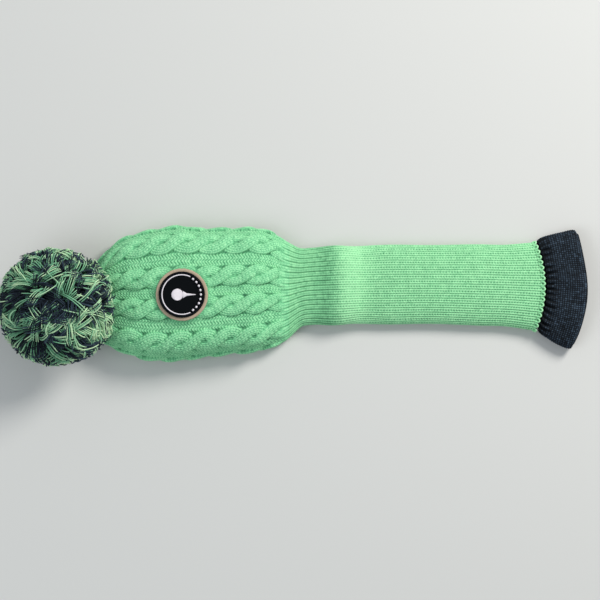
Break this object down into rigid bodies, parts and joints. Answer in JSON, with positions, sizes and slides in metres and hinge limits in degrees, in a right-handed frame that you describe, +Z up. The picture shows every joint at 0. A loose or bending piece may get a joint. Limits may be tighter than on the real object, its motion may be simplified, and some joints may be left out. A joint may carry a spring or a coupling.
{
  "type": "driver head cover",
  "caption": "Knitted golf driver cover with a cable-knit head, long ribbed neck, flared dark cuff, yarn pom-pom and round sewn badge, lying flat and empty.",
  "frame": {"origin": "middle of the object's plan, on the surface that it lies on", "axes": "+X along the cover from the pom-pom to the mouth of the cuff, +Z up out of the badge side"},
  "size_m": [0.529, 0.1268, 0.089],
  "materials": {
    "mint_knit": "matt acrylic cable knit",
    "mint_rib": "matt acrylic rib knit",
    "mint_chain": "matt acrylic yarn chain",
    "lining": "smooth brushed tricot",
    "navy_jersey": "matt fine jersey",
    "tie_yarn": "twisted yarn",
    "pom_mint": "loose cut yarn",
    "pom_navy": "loose cut yarn",
    "badge_felt": "felt edge",
    "badge_black": "dense embroidery",
    "badge_white": "raised embroidery"
  },
  "bodies": {
    "head": {"head_shell": "mint_knit", "head_lining": "lining", "crown_drawstring": "mint_knit", "tie_inner_knot": "tie_yarn", "badge_backing": "badge_felt", "badge_border": "badge_black", "badge_face": "badge_black", "badge_ring": "badge_white", "badge_bead_arc": "badge_white", "badge_emblem": "badge_white"},
    "tie_swivel": {"tie_outer_knot": "tie_yarn"},
    "tie": {"pom_tether": "tie_yarn"},
    "pompom": {"pom_center_tie": "tie_yarn", "pom_tuft_mint_1": "pom_mint", "pom_tuft_mint_2": "pom_mint", "pom_tuft_mint_3": "pom_mint", "pom_tuft_mint_4": "pom_mint", "pom_tuft_mint_5": "pom_mint", "pom_tuft_mint_6": "pom_mint", "pom_tuft_navy_1": "pom_navy", "pom_tuft_navy_2": "pom_navy", "pom_tuft_navy_3": "pom_navy", "pom_tuft_navy_4": "pom_navy", "pom_tuft_navy_5": "pom_navy"},
    "neck_upper": {"neck_upper_sleeve": "mint_rib"},
    "neck_lower": {"neck_lower_sleeve": "mint_rib", "cuff_linking_chain": "mint_chain", "cuff_band": "navy_jersey"}
  },
  "joints": [
    {"name": "pom_sway", "type": "hinge", "parent": "head", "child": "tie_swivel", "pos_m": [-0.1889, -0.00561, 0.018], "axis": [0, 0, 1], "range_deg": [-20, 20]},
    {"name": "pom_nod", "type": "hinge", "parent": "tie_swivel", "child": "tie", "pos_m": [-0.1889, -0.00561, 0.018], "axis": [0, 1, 0], "range_deg": [-48, 6]},
    {"name": "pom_twist", "type": "hinge", "parent": "tie", "child": "pompom", "pos_m": [-0.215, -0.0114, 0.043], "axis": [-0.7131, -0.1582, 0.683], "range_deg": [-60, 60]},
    {"name": "throat_fold", "type": "hinge", "parent": "head", "child": "neck_upper", "pos_m": [0.0087, 0.00827, 0.0095], "axis": [0, -1, 0], "range_deg": [-45, 45]},
    {"name": "neck_fold", "type": "hinge", "parent": "neck_upper", "child": "neck_lower", "pos_m": [0.1142, 0.0102, 0.0085], "axis": [0, -1, 0], "range_deg": [-45, 45]}
  ]
}
